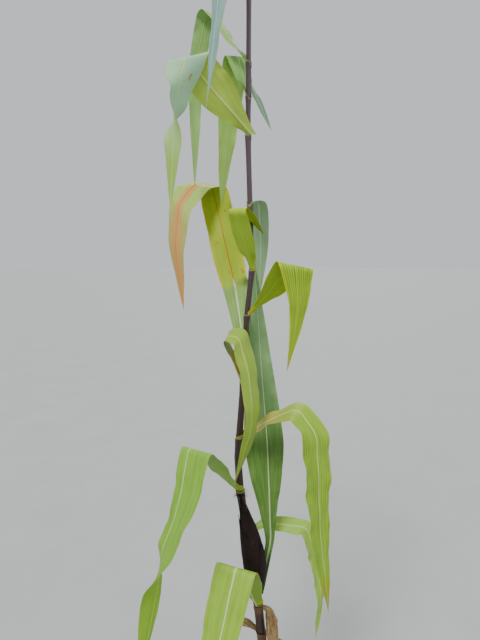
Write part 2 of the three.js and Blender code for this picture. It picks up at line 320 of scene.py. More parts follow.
# How a blade looks unless its leaf says otherwise. Colours are 0 to 255 values, and widths and
# gaps are in millimetres. Names that end in from or to are shares of the blade's length, vein_wide
# is a share of the gap, and veins, blotches and under_share are strengths. late is the colour past
# late_from, early_rib the midrib's before it, and flush a withered band beside the midrib.
WHITE_RIB = (222, 228, 196)
BLADE_LOOK = dict(
    base=(140, 172, 88), streak=(122, 156, 74), under=(160, 186, 118), under_share=0.55,
    rib=WHITE_RIB, rib_width=1.8, early_rib=None,
    vein=(176, 200, 126), veins=0.35, vein_gap=5.8, vein_wide=0.16,
    edge=(178, 186, 112), edge_width=1.5, tip=(168, 170, 84), tip_from=0.9,
    foot=(186, 196, 124), foot_to=0.03, blotch=(178, 160, 96), blotches=0.0,
    late=None, late_from=0.5, late_to=0.6,
    flush=None, flush_width=14, flush_from=0.5,
)


def blade_material(name, leaf):
    look = {**BLADE_LOOK, **leaf}
    look = {key: srgb(*value) if isinstance(value, tuple) else value for key, value in look.items()}
    tree = Tree(name)
    rib, vein, edge, length, along, under = tree.attributes("rib", "vein", "edge", "length", "along",
                                                            "under")
    fine = tree.streaks(vein, length, 900, 6, detail=2.0)
    broad = tree.streaks(vein, length, 90, 9)
    patch = tree.streaks(vein, length, 45, 40, detail=4.0, rough=0.6)
    wander = tree.number("MULTIPLY_ADD", patch, 0.12, -0.06)
    ragged = tree.plus(along, wander)
    colour = tree.mix(tree.ramp(broad, 0.35, 0.65), look["base"], look["streak"])
    changed = 1.0
    if look["late"]:
        later = tree.ramp(ragged, look["late_from"], look["late_to"])
        colour = tree.mix(later, colour, look["late"])
        changed = later if look["early_rib"] else 1.0
    colour = tree.mix(tree.times(tree.ramp(fine, 0.3, 0.7), 0.36), colour, look["vein"])

    # Lengthwise veins, a few strong and many fine
    strong = tree.ramp(tree.lines(vein, look["vein_gap"]), look["vein_wide"], 0.0)
    weak = tree.ramp(tree.lines(vein, FINE_VEIN_GAP), 0.35, 0.05)
    seen = tree.times(strong, tree.ramp(patch, 0.3, 0.6, 0.5, 1.0))
    seen = tree.number("ADD", seen, tree.times(weak, 0.35), clamp=True)
    colour = tree.mix(tree.times(seen, look["veins"]), colour, look["vein"])

    # Withering: blotches, margins, tip and foot
    spread = tree.ramp(tree.plus(patch, tree.times(broad, 0.5)), 0.86, 1.0)
    colour = tree.mix(tree.times(spread, look["blotches"]), colour, look["blotch"])
    margin = tree.plus(edge, tree.times(wander, look["edge_width"] * 8 * MM))
    margin = tree.times(tree.ramp(margin, look["edge_width"] * MM, 0.2 * MM), changed)
    colour = tree.mix(tree.times(margin, 0.9), colour, look["edge"])
    tip = tree.ramp(ragged, look["tip_from"], min(look["tip_from"] + 0.12, 1.0))
    colour = tree.mix(tip, colour, look["tip"])
    foot = tree.plus(along, tree.times(wander, 0.3))
    foot = tree.ramp(foot, look["foot_to"], look["foot_to"] * 0.3)
    colour = tree.mix(foot, colour, look["foot"])
    colour = tree.mix(tree.times(under, look["under_share"]), colour, look["under"])

    # Flush: streaks beside the midrib that wither before the rest
    if look["flush"]:
        away = tree.plus(tree.number("ABSOLUTE", rib), tree.times(broad, 10 * MM))
        band = tree.ramp(away, (look["flush_width"] + 5) * MM, (look["flush_width"] - 3) * MM)
        start = tree.ramp(ragged, look["flush_from"], look["flush_from"] + 0.05)
        band = tree.times(band, tree.times(start, tree.ramp(fine, 0.2, 0.6, 0.55, 0.95)))
        colour = tree.mix(band, colour, look["flush"])

    # Midrib, which narrows to the tip
    width = tree.times(tree.ramp(along, 0.0, 1.0, 1.0, 0.25), look["rib_width"] * MM)
    inside = tree.number("SUBTRACT", width, tree.number("ABSOLUTE", rib))
    inside = tree.ramp(inside, -0.5 * MM, 0.5 * MM)
    rib_colour = tree.mix(changed, look["early_rib"] or look["rib"], look["rib"])
    colour = tree.mix(tree.times(inside, 0.92), colour, rib_colour)

    height = tree.plus(tree.times(strong, 0.7), tree.times(weak, 0.5))
    tree.bump(tree.plus(height, tree.times(patch, 0.8)), 0.55, 0.35 * MM)
    return tree.finish(colour, tree.number("MULTIPLY_ADD", patch, 0.22, 0.37), specular=0.18)


def dry_material(name, light, dark, stain=(102, 76, 54), fleck=(214, 200, 168)):
    """Withered blade or husk: lengthwise streaks with darker stains and paler flecks."""
    light, dark, stain, fleck = (srgb(*colour) for colour in (light, dark, stain, fleck))
    tree = Tree(name)
    vein, length, edge = tree.attributes("vein", "length", "edge")
    streak = tree.streaks(vein, length, 420, 10, detail=4.0, rough=0.6)
    patch = tree.streaks(vein, length, 60, 45, detail=5.0, rough=0.65)
    colour = tree.mix(tree.ramp(streak, 0.3, 0.7), dark, light)
    colour = tree.mix(tree.ramp(patch, 0.52, 0.68, 0.0, 0.65), colour, stain)
    colour = tree.mix(tree.ramp(patch, 0.42, 0.3, 0.0, 0.6), colour, fleck)
    colour = tree.mix(tree.ramp(edge, 1.6 * MM, 0.0, 0.0, 0.7), colour, stain)
    line = tree.ramp(tree.lines(vein, DRY_VEIN_GAP), 0.3, 0.0)
    tree.bump(tree.plus(line, tree.times(patch, 1.6)), 0.7, 0.6 * MM)
    return tree.finish(colour, tree.ramp(patch, 0.2, 0.8, 0.62, 0.86), specular=0.25)


def rind_material(name, low, high, pale, ring):
    """Stalk rind or sheath: fine lengthwise lines, waxy bloom in patches and pale rings."""
    low, high, pale, ring, dot = (srgb(*colour) for colour in (low, high, pale, ring, (34, 20, 22)))
    tree = Tree(name)
    rise, ringed, around = tree.attributes("rise", "ring", "around")
    line = tree.streaks(around, rise, 9, 7, rough=0.6)
    bloom = tree.noise(tree.place((60, 60, 14)), detail=5.0, rough=0.6)
    speck = tree.noise(tree.place((900, 900, 260)), detail=2.0)
    colour = tree.mix(tree.ramp(rise, 1.1, 2.2), low, high)
    colour = tree.mix(tree.ramp(line, 0.42, 0.66, 0.0, 0.45), colour, pale)
    colour = tree.mix(tree.ramp(bloom, 0.55, 0.75, 0.0, 0.35), colour, pale)
    colour = tree.mix(tree.ramp(speck, 0.62, 0.7, 0.0, 0.35), colour, dot)
    colour = tree.mix(tree.ramp(ringed, 0.35, 0.95), colour, ring)
    tree.bump(tree.plus(line, tree.times(speck, 0.35)), 0.5, 0.5 * MM)
    return tree.finish(colour, tree.ramp(bloom, 0.2, 0.8, 0.36, 0.6), specular=0.5)


def grain_material(name, light, dark, scale, rough, stretch=1, relief=0.3):
    """Plain mottled finish for silk, spikelets and the floor. stretch is the scale along +Z."""
    tree = Tree(name)
    mottle = tree.noise(tree.place((scale, scale, scale * stretch)), detail=4.0, rough=0.6)
    colour = tree.mix(tree.ramp(mottle, 0.32, 0.68), dark, light)
    tree.bump(mottle, 0.6, relief * MM)
    return tree.finish(colour, tree.ramp(mottle, 0.2, 0.8, rough - 0.08, rough + 0.1), specular=0.35)


# Meshes

def add_object(name, data):
    thing = bpy.data.objects.new(name, data)
    bpy.context.scene.collection.objects.link(thing)
    return thing


def make_piece(name, points, faces, materials, slot, nodes=(), values=None, face_materials=None,
               creases=None):
    """A smooth mesh that rides on the plant's body. values are float attributes of its points."""
    mesh = bpy.data.meshes.new(name)
    mesh.from_pydata([tuple(p) for p in points], [], faces)
    for material in materials:
        mesh.materials.append(material)
    if face_materials is not None:
        mesh.polygons.foreach_set("material_index", face_materials)
    for key, numbers in (values or {}).items():
        layer = mesh.attributes.new(key, "FLOAT", "POINT")
        layer.data.foreach_set("value", np.asarray(numbers, np.float32))
    mesh.polygons.foreach_set("use_smooth", [True] * len(faces))
    if creases is not None:
        ends = np.zeros(len(mesh.edges) * 2, np.int32)
        mesh.edges.foreach_get("vertices", ends)
        ends = ends.reshape(-1, 2)
        layer = mesh.attributes.new("sharp_edge", "BOOLEAN", "EDGE")
        layer.data.foreach_set("value", creases[ends].all(axis=1))
    mesh.validate()
    mesh.update()
    piece = add_object(name, mesh)
    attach(piece, "root")
    if nodes:
        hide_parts(*nodes)


def grid_faces(rows, columns, first=0, closed=False, flip=False):
    """Quads over a grid of points. A closed grid joins its last column to its first."""
    faces = []
    for i in range(rows - 1):
        for j in range(columns if closed else columns - 1):
            k = (j + 1) % columns
            quad = (first + i * columns + j, first + (i + 1) * columns + j,
                    first + (i + 1) * columns + k, first + i * columns + k)
            faces.append(quad[::-1] if flip else quad)
    return faces


def tube_faces(rows, sides, first=0):
    """Faces of a closed round limb with a flat end at both sides."""
    faces = grid_faces(rows, sides, first, closed=True, flip=True)
    faces.append(tuple(first + j for j in range(sides))[::-1])
    last = first + (rows - 1) * sides
    faces.append(tuple(last + j for j in range(sides)))
    return faces


def tube(centres, radii, sides, first=0):
    """Points and faces of a closed round limb along some centres."""
    centres = [Vector(c) for c in centres]
    points = []
    side = None
    for i, centre in enumerate(centres):
        along = (centres[min(i + 1, len(centres) - 1)] - centres[max(i - 1, 0)]).normalized()
        if side is None:
            side = along.orthogonal().normalized()
        side = (side - along * side.dot(along)).normalized()
        other = along.cross(side)
        for j in range(sides):
            angle = 2 * math.pi * j / sides
            points.append(centre + (side * math.cos(angle) + other * math.sin(angle)) * radii[i])
    return points, tube_faces(len(centres), sides, first)


def sheet_shell(upper, lower, rows, columns, flip):
    """Closed thin shell from an upper and a lower grid of points, and which are on its rim."""
    count = rows * columns
    faces = grid_faces(rows, columns, flip=flip)
    faces += grid_faces(rows, columns, first=count, flip=not flip)
    rim = [i * columns for i in range(rows)]
    rim += [(rows - 1) * columns + j for j in range(1, columns)]
    rim += [i * columns + columns - 1 for i in range(rows - 2, -1, -1)]
    rim += [j for j in range(columns - 2, 0, -1)]
    for a, b in zip(rim, rim[1:] + rim[:1]):
        quad = (a, a + count, b + count, b)
        faces.append(quad[::-1] if flip else quad)
    on_rim = np.zeros(2 * count, bool)
    on_rim[rim] = True
    on_rim[[index + count for index in rim]] = True
    return np.concatenate([upper, lower]), faces, on_rim


# Leaves. Each starts at a collar on the stalk and runs on in straight lengths joined by soft
# bends. A run is its length, the heading and the lift of its midrib, then the heading and the
# tilt of its right-hand margin, in millimetres and degrees, and soft is how long each bend is.
# neck is the foot's share of the width, narrow and wide are where it starts and ends to widen, as
# shares of the length, and a high taper keeps it wide for longer. stand moves the foot to +X and
# +Y. rib_off is how far the midrib lies off the middle, as a share of half the width, and wave
# how much the margins ruffle, in millimetres. Colours and what goes with them are the leaf's look.
LEAF_SHAPE = dict(neck=0.45, narrow=0, wide=0.3, taper=1.9, stand=[0, 0], rib_off=0, wave=2.5,
                  dry=False)
LEAVES = {
    "leaf_1": dict(
        collar=547, width=115, soft=[36], rib_off=0.02,
        runs=[[254, 244, 58.5, -23], [530, 236, -66, -25]],
        base=(164, 190, 98), streak=(146, 178, 80), under=(172, 198, 104), rib_width=3.0,
        rib=(214, 222, 176), edge=(190, 180, 112), edge_width=1.6, foot=(190, 190, 96),
        foot_to=0.06, veins=0.25,
    ),
    "leaf_2": dict(
        collar=575, width=114, neck=0.2, narrow=0.12, wide=0.48, taper=1.2, soft=[60, 150, 150],
        wave=4, rib_off=-0.16,
        runs=[[165, 32, 77, 170], [190, 165, 86, 180], [340, 140, 85, 180], [310, 195, 87, 180]],
        base=(124, 154, 86), streak=(102, 136, 66), late=(150, 178, 138), late_from=0.38,
        late_to=0.75, rib=(206, 218, 186), rib_width=2.3, vein=(150, 178, 128), veins=0.3,
        edge=(120, 150, 90), edge_width=1, foot=(122, 154, 78), tip=(150, 178, 136),
        under=(124, 156, 92),
    ),
    "leaf_3": dict(
        collar=909, width=98, soft=[30, 140, 170], rib_off=-0.45,
        runs=[[265, 235, 47, -34], [130, 238, -73, -40], [195, 199, -66, -58],
              [325, 195, -80, -140]],
        base=(146, 184, 92), streak=(126, 170, 74), under=(166, 200, 92), rib=(196, 212, 156),
        rib_width=2.4, foot=(190, 194, 110), foot_to=0.05, edge=(178, 202, 118), tip=(146, 176, 86),
        tip_from=0.88, veins=0.4, late=(144, 180, 88), late_from=0.6, late_to=0.75,
    ),
    "leaf_4": dict(
        collar=1070, width=104, neck=0.35, soft=[50, 50, 60, 100], wave=4, rib_off=0.12,
        runs=[[100, 327, 37, 80, 10], [100, 332, 31, 75, 10], [80, 318, -46, 50],
              [270, 323, -86, 40], [222, 0, -82, 35]],
        base=(146, 182, 78), streak=(112, 156, 52), under=(178, 188, 118), rib=(198, 212, 150),
        rib_width=2.6, foot=(188, 180, 122), foot_to=0.3, edge=(186, 196, 116), edge_width=2,
        tip=(166, 172, 74), tip_from=0.82, vein=(190, 208, 118), veins=0.65, vein_gap=9,
        vein_wide=0.26,
    ),
    "leaf_5": dict(
        collar=1231, width=72, taper=2.6, soft=[50, 40, 120, 110], wave=2, rib_off=0.15,
        runs=[[146, 214, 67.5, 262, -6], [46, 319, 4, 229, -26], [118, 314, -68, 230],
              [122, 290, -85, 232], [164, 186, -72, 225]],
        base=(162, 192, 98), streak=(142, 180, 78), under=(172, 188, 110), rib=(204, 214, 148),
        foot=(182, 170, 104), foot_to=0.3, edge=(190, 196, 110), tip=(138, 172, 66),
        tip_from=0.7, veins=0.5,
    ),
    "leaf_6": dict(
        collar=1330, width=96, taper=2.8, soft=[20, 60, 40, 60, 100], wave=2, rib_off=0.04,
        runs=[[180, 113, 69, 190], [322, 118, 63, 156, -12], [80, 232, -12, 150, 12],
              [75, 230, -44, 152, 30], [120, 245, -77, 148, 10], [180, 345, -83, 142, 5]],
        base=(178, 200, 150), streak=(158, 184, 126), under=(176, 202, 150), under_share=0.5,
        flush=(210, 170, 124), flush_width=18, flush_from=0.52, early_rib=WHITE_RIB,
        late=(194, 208, 104), late_from=0.17, late_to=0.21, rib=(190, 142, 74), rib_width=2.2,
        edge=(208, 204, 98), edge_width=9, tip=(198, 146, 84), tip_from=0.66, vein=(140, 172, 66),
        veins=0.45, blotch=(186, 112, 70), blotches=0.7,
    ),
    "leaf_7": dict(
        collar=1420, width=95, neck=0.12, wide=0.44, taper=0.8, soft=[36, 140], rib_off=0.1,
        runs=[[225, 312, 40.5, 205, 24], [110, 60, -80, 198, 10], [166, 155, -79, 200, 6]],
        base=(126, 174, 78), streak=(94, 146, 54), under=(188, 208, 98), under_share=0.45,
        rib=(196, 212, 104), rib_width=1.2, vein=(212, 222, 112), veins=0.7, vein_gap=6.8,
        vein_wide=0.24, edge=(206, 206, 92), edge_width=5, foot=(212, 150, 44), foot_to=0.09,
        tip=(176, 186, 66), tip_from=0.85,
    ),
    "leaf_8": dict(
        collar=1542, width=64, soft=[34, 50], wave=2, rib_off=0.1,
        runs=[[176, 241, 62, 324, -2], [60, 52, -22, 323, 1], [70, 50, -39, 320, 2]],
        base=(120, 166, 86), streak=(92, 142, 60), under=(184, 204, 100), rib=(170, 196, 92),
        rib_width=1.2, vein=(184, 208, 104), veins=0.7, vein_gap=8, vein_wide=0.26,
        edge=(170, 190, 90), edge_width=2, foot=(196, 194, 84), foot_to=0.07, late=(190, 200, 88),
        late_to=0.56,
    ),
    "leaf_9": dict(
        collar=1720, width=52, soft=[50, 60],
        runs=[[75, 71, 8, 165], [125, 78, -71, 170], [160, 114, -86, 175]],
        base=(160, 186, 156), streak=(140, 170, 136), under=(176, 198, 172), rib=(208, 220, 196),
       
    ),
    "leaf_10": dict(
        collar=1890, width=95, neck=0.3, wide=0.24, stand=[14, -6], soft=[34, 90, 110], wave=2,
        rib_off=-0.1,
        runs=[[237, 205, 43.5, 0, 37], [50, 200, -75, 5, -14], [105, 198, -76, 62],
              [200, 190, -87, 150]],
        base=(186, 208, 116), streak=(160, 190, 94), under=(186, 208, 118), late=(176, 214, 198),
        late_from=0.36, late_to=0.4, rib=(216, 226, 164), rib_width=2.0, vein=(202, 216, 136),
        veins=0.5, edge=(192, 206, 100), edge_width=3, tip=(156, 188, 132), tip_from=0.72,
        blotch=(190, 146, 96), blotches=0.8,
    ),
    "leaf_11": dict(
        collar=1985, width=70, soft=[36, 60], wave=3,
        runs=[[135, 118, 66, 195], [120, 120, -75, 204], [275, 152, -83, 204]],
        base=(166, 200, 128), streak=(142, 182, 108), under=(188, 214, 130), rib=(188, 210, 164),
        vein=(166, 196, 150),
    ),
    "leaf_12": dict(
        collar=2022, width=26, soft=[], wave=1,
        runs=[[132, 12, -64, 50, 20]],
        base=(136, 164, 148), streak=(120, 150, 134), rib_width=1.0, under=(150, 176, 160),
    ),
    "leaf_13": dict(
        collar=2067, width=48, soft=[50, 60],
        runs=[[186, 153, 53, 70, 30], [150, 172, -78, 20], [300, 200, -89, 20]],
        base=(172, 202, 150), streak=(158, 192, 126), under=(176, 208, 150), rib=(196, 206, 132),
        edge=(190, 198, 112),
    ),
    "leaf_14": dict(
        collar=2240, width=54, soft=[40, 60],
        runs=[[150, 240, 60, 140], [155, 250, -72, 140], [310, 230, -80, 140]],
        base=(150, 182, 176), streak=(130, 164, 156), under=(142, 174, 166), rib=(196, 212, 204),
        vein=(188, 206, 196),
    ),
    "leaf_15": dict(
        collar=2380, width=46, soft=[50, 50], wave=2,
        runs=[[200, 345, 62, 75], [110, 345, -20, 75], [90, 340, -66, 75]],
        base=(148, 176, 140), streak=(130, 162, 118), rib_width=1.6,
    ),
    "leaf_16": dict(
        collar=2490, width=36, soft=[60, 60], wave=1.5,
        runs=[[110, 190, 68, 100], [80, 190, 30, 100], [60, 190, -20, 100]],
        base=(150, 178, 132), streak=(134, 164, 110), rib_width=1.4,
    ),
    "husk_leaf": dict(
        collar=778, width=52, soft=[40, 40, 60, 60], wave=6,
        runs=[[78, 48, -8, 132, 20], [128, 4, -10, 100, 42], [112, 16, -73, 32], [125, 0, -81, 22],
              [170, 176, -85, 30]],
        base=(178, 202, 130), streak=(154, 184, 100), under=(160, 188, 104), rib=(206, 220, 170),
        rib_width=1.4, edge=(200, 212, 150), foot_to=0.01,
    ),
    "dry_leaf_1": dict(
        collar=540, width=46, soft=[24, 60], wave=6, dry=True,
        runs=[[22, 340, -10, 80], [150, 330, -78, 30], [130, 290, -84, 0]],
    ),
    "dry_leaf_2": dict(
        collar=452, width=52, soft=[30, 60], wave=7, dry=True,
        runs=[[60, 165, 24, 260], [160, 175, -72, 240], [130, 200, -84, 200]],
    ),
    "dry_leaf_3": dict(
        collar=362, width=56, soft=[30, 60], wave=7, dry=True,
        runs=[[75, 35, 14, 120], [130, 25, -66, 150], [110, 60, -80, 150]],
    ),
    "dry_leaf_4": dict(
        collar=252, width=54, soft=[30, 60], wave=7, dry=True,
        runs=[[90, 285, 22, 15], [110, 280, -55, 20], [85, 250, -70, 20]],
    ),
}
LEAVES = {name: {**LEAF_SHAPE, **leaf} for name, leaf in LEAVES.items()}


def run_frame(run):
    """Turn from the row frame to along, across and up from the blade for one run."""
    turn, lift, span = run[1:4]
    tilt = run[4] if len(run) > 4 else 0
    along = heading(turn, lift)
    across = heading(span, tilt)
    across = (across - along * across.dot(along)).normalized()
    up = along.cross(across)
    return Matrix((along, across, up)).transposed().to_quaternion()


def outline(share, leaf):
    """Share of the full width at a share of the blade's length."""
    neck, narrow, wide = leaf["neck"], leaf["narrow"], leaf["wide"]
    rise = ease((share - narrow) / (wide - narrow))
    fall = np.clip((share - wide) / (1 - wide), 0, 1) ** leaf["taper"]
    return (neck + (1 - neck) * rise) * (1 - fall)


def find_bends(leaf, frames, ends):
    """Where each bend is, how far it slants the blade's rows, how soft it is and how sharp."""
    bends = []
    for i, at in enumerate(ends[:-1]):
        turn = frames[i + 1] @ frames[i].inverted()
        if turn.w < 0:
            turn.negate()
        angle = 2 * math.acos(min(turn.w, 1))
        axis = Vector((turn.x, turn.y, turn.z)).normalized()
        half = frames[i].slerp(frames[i + 1], 0.5)
        a = axis.dot(half @ Vector((1, 0, 0)))
        b = axis.dot(half @ Vector((0, 1, 0)))
        slant = a / b * min(angle, 1) * float(ease((abs(b) - 0.3) / 0.4))
        bends.append((at, max(min(slant, 0.6), -0.6), leaf["soft"][i], float(ease(angle - 0.6))))
    return bends


def lay_leaf(leaf):
    """Fine stations along the midrib: distance, place, along, across, up, slant and crease."""
    frames = [run_frame(run) for run in leaf["runs"]]
    ends = np.cumsum([run[0] for run in leaf["runs"]])
    bends = find_bends(leaf, frames, ends)
    collar, width = leaf["collar"], leaf["width"]
    first = frames[0] @ Vector((1, 0, 0))
    first = Vector((first.x, first.y, 0)).normalized()
    point = Vector((stem_x(collar), 0, collar)) + first * (stem_radius(collar) - SET_IN)
    point += Vector((*leaf["stand"], 0))
    rows = []
    for s in range(0, int(ends[-1]) + 1, FINE_STEP):
        turned = frames[0].copy()
        slant, crease = 0.0, 0.0
        for i, (at, most, soft, sharp) in enumerate(bends):
            share = float(ease((s - at) / soft + 0.5))
            if share > 0:
                turned = frames[i].slerp(frames[i + 1], share)
            slant += most * (1 - float(ease((abs(s - at) - soft / 2) / (1.1 * width))))
            crease = max(crease, sharp * (1 - float(ease(abs(s - at) / (0.8 * width)))))
        along = turned @ Vector((1, 0, 0))
        if s > 0:
            point = point + along * FINE_STEP
        rows.append([s * MM, *(point * MM), *along, *(turned @ Vector((0, 1, 0))),
                     *(turned @ Vector((0, 0, 1))), slant, crease])
    return np.array(rows), first


def blade_relief(leaf, number, s, t, c):
    """How far a blade's points lie off a flat sheet: dished, ruffled at its margins and uneven."""
    share = s / s[-1]
    swell = ease(share / 0.12) * (1 - 0.75 * ease((share - 0.55) / 0.45))
    phase = number * 2.4
    ruffle = np.zeros_like(t)
    for side, length, shift in WAVE_LONG:
        swing = np.sin(2 * math.pi * s / (length * MM) + phase + shift)
        swing = swing + 0.35 * np.sin(2 * math.pi * s / (0.41 * length * MM) + 1.7 * phase + shift)
        on_side = (c * side > 0) * np.abs(c) ** 2.6
        ruffle += swing[:, None] * on_side[None, :]
    ruffle *= leaf["wave"] * MM * swell[:, None]
    uneven = np.array([[noise.noise(Vector((x * 28, y * 17, number * 7.3))) for x in row]
                       for row, y in zip(t, s)])
    uneven *= (DRY_UNEVEN if leaf["dry"] else UNEVEN) * MM * swell[:, None]
    if leaf["dry"]:
        curl = 0.55 * np.sin(share * 5 + phase)[:, None]
        uneven += curl * np.abs(t) ** 2 / (leaf["width"] * MM * 0.5)
    return DISH * np.abs(t) + ruffle + uneven


def wrap_foot(leaf, t, foot, steep):
    """How far a blade's points lie sideways and inward, with the foot wrapped round the stalk."""
    bend = foot / ((stem_radius(leaf["collar"]) + WRAP_CLEAR) * MM)
    if not steep:
        bend = bend * 0.35
    elif any(leaf["stand"]):
        bend = bend * 0.8
    bend = np.maximum(bend, 1e-4)[:, None]
    turned = np.clip(bend * t, -WRAP_MOST, WRAP_MOST)
    return np.sin(turned) / bend, (1 - np.cos(turned)) / bend


def make_leaf(name, leaf, number, material, slot, nodes):
    """A blade as a thin closed shell with its midrib, ruffled margins and wrapped foot."""
    stations, first = lay_leaf(leaf)
    fine = stations[:, 0]
    total = fine[-1]
    rows = max(int(total / (ROW_STEP * MM)), 12)
    s = np.linspace(0, total, rows)
    place = np.stack([np.interp(s, fine, stations[:, k]) for k in range(1, 15)], 1)
    centre, along, across, up = (place[:, k:k + 3] for k in (0, 3, 6, 9))
    slant, crease = place[:, 12], place[:, 13]
    for direction in (along, across, up):
        direction /= np.linalg.norm(direction, axis=1, keepdims=True)
    half = np.maximum(0.5 * leaf["width"] * MM * outline(fine / total, leaf), 0.35 * MM)

    # c is the place across a row as a share of its half, and t the same in metres. A slanted row
    # takes its reach from where it meets the outline.
    spaced = np.linspace(-1, 1, COLUMNS)
    spaced = np.sign(spaced) * np.abs(spaced) ** 1.2
    c = leaf["rib_off"] + spaced * (1 - np.sign(spaced) * leaf["rib_off"])
    reach = np.interp(s, fine, half)[:, None]
    t = c[None, :] * reach
    for _ in range(5):
        t = c[None, :] * np.interp(s[:, None] + t * slant[:, None], fine, half)

    # The foot wraps towards the stalk, on the side that the blade's upper face looks to
    inward = 1.0 if Vector(up[0]).dot(-first) > 0 else -1.0
    foot = 1 - ease(s / (WRAP_LONG * MM))
    sideways, rising = wrap_foot(leaf, t, foot, abs(along[0][2]) >= 0.3)
    lift = blade_relief(leaf, number, s, t, c) * (1 - crease[:, None]) * (1 - foot[:, None])
    points = centre[:, None, :] + across[:, None, :] * sideways[..., None]
    points += up[:, None, :] * (inward * rising + lift)[..., None]
    points += along[:, None, :] * (t * slant[:, None])[..., None]
    if along[0][2] > 0.3:
        level = (points[..., 2] - centre[:, None, 2]) * foot[:, None] ** 2
        points -= along[:, None, :] * (level / np.maximum(along[:, None, 2], 0.3))[..., None]

    # Thickness, with the midrib sunk a little above and standing out below
    share = s[:, None] / total
    from_rib = (c[None, :] - leaf["rib_off"]) * reach
    rib_half = (1.2 + 2.2 * (1 - share)) * MM * leaf["width"] / 100
    rib = np.exp(-((from_rib / rib_half) ** 2)) * (1 - 0.85 * share) * (leaf["width"] / 100)
    thin = np.minimum(0.5 * SHEET_THICK * MM, reach * 0.5)
    normal = (up * inward)[:, None, :]
    upper = points + normal * (thin - RIB_SINK * MM * rib)[..., None]
    lower = points - normal * (thin + RIB_STAND * MM * rib)[..., None]
    points, faces, on_rim = sheet_shell(upper.reshape(-1, 3), lower.reshape(-1, 3), rows, COLUMNS,
                                        flip=inward < 0)

    # Each blade reads its noise at a place of its own
    values = {
        "rib": from_rib,
        "vein": np.broadcast_to(c[None, :] - leaf["rib_off"], t.shape) * half.max() + number * 0.13,
        "edge": (1 - np.abs(c[None, :])) * reach,
        "length": np.broadcast_to(s[:, None], t.shape) + number * 0.7,
        "along": np.broadcast_to(share, t.shape),
    }
    values = {key: np.tile(numbers.ravel(), 2) for key, numbers in values.items()}
    values["under"] = np.repeat([0.0, 1.0], rows * COLUMNS)
    make_piece(name, points, faces, [material], slot, nodes, values, creases=on_rim)


def make_leaves(record_slots):
    withered = dry_material("withered", (200, 182, 146), (144, 114, 82))
    for number, (name, leaf) in enumerate(LEAVES.items()):
        nodes = [node for node in record_slots if node == name or node.startswith(name + "_")]
        material = withered if leaf["dry"] else blade_material(name + "_skin", leaf)
        make_leaf("blade_of_" + name, leaf, number, material, record_slots[nodes[-1]], nodes)


# Stalk, sheaths and prop roots

def stalk_ring(height, off, phase):
    """Points of one fluted ring round the stalk, in metres."""
    ring = []
    for j in range(STEM_SIDES):
        angle = 2 * math.pi * j / STEM_SIDES
        flute = FLUTE_DEEP * math.sin(FLUTES * angle + phase)
        ring.append(stem_point(height, stem_radius(height) + off + flute, angle))
    return ring


def node_relief(height):
    """How far the rind stands out near a node, and how pale the ring there is."""
    relief, pale = 0.0, 0.0
    for node in NODE_HEIGHTS:
        off = height - node
        relief += 0.5 * math.exp(-((off - 4) / 2.5) ** 2) - 0.9 * math.exp(-((off + 3) / 2.2) ** 2)
        pale += math.exp(-((off - 3) / 4.5) ** 2)
    return relief, min(pale, 1.0)


def prop_root(i, first):
    """Points and faces of one prop root, from the lowest nodes down to the ground."""
    turn = 360 / PROP_COUNT * i + PROP_STRAY * math.sin(3 * i)
    top = PROP_TOP - PROP_LOWER * (i % 2)
    reach = PROP_REACH - PROP_SHORTER * (i % 2)
    centres, radii = [], []
    for t in np.linspace(0, 1, PROP_ROWS):
        height = max(top * (1 - t ** 1.4), 0.0)
        out = heading(turn, 0) * (PROP_FROM + (reach - PROP_FROM) * t)
        centres.append((Vector((stem_x(top), 0, height)) + out) * MM)
        radii.append(PROP_RADIUS * (1.1 - 0.25 * t + 0.12 * math.sin(9 * t + i)) * MM)
    points, faces = tube(centres, radii, PROP_SIDES, first)
    return [(x, y, max(z, 0.0)) for x, y, z in points], faces


def make_stalk(rind):
    heights = np.arange(0, STEM_TOP + 1, STEM_STEP).tolist()
    heights = sorted(set(heights) | {node + shift for node in NODE_HEIGHTS for shift in NEAR_NODE})
    points, rise, ring = [], [], []
    for height in heights:
        relief, pale = node_relief(height)
        points += stalk_ring(height, relief - STEM_SINK, 0.25 * math.sin(height / 37))
        rise += [height * MM] * STEM_SIDES
        ring += [pale] * STEM_SIDES
    around = [2 * math.pi * j / STEM_SIDES for j in range(STEM_SIDES)] * len(heights)
    faces = tube_faces(len(heights), STEM_SIDES)
    for i in range(PROP_COUNT):
        more, quads = prop_root(i, len(points))
        points += more
        faces += quads
        rise += [0.02] * len(more)
        ring += [0.0] * len(more)
        around += [2 * math.pi * j / PROP_SIDES for j in range(PROP_SIDES)] * PROP_ROWS
    values = {"rise": rise, "ring": ring, "around": around}
    make_piece("stalk", points, faces, [rind], "stem", ["stem"], values)


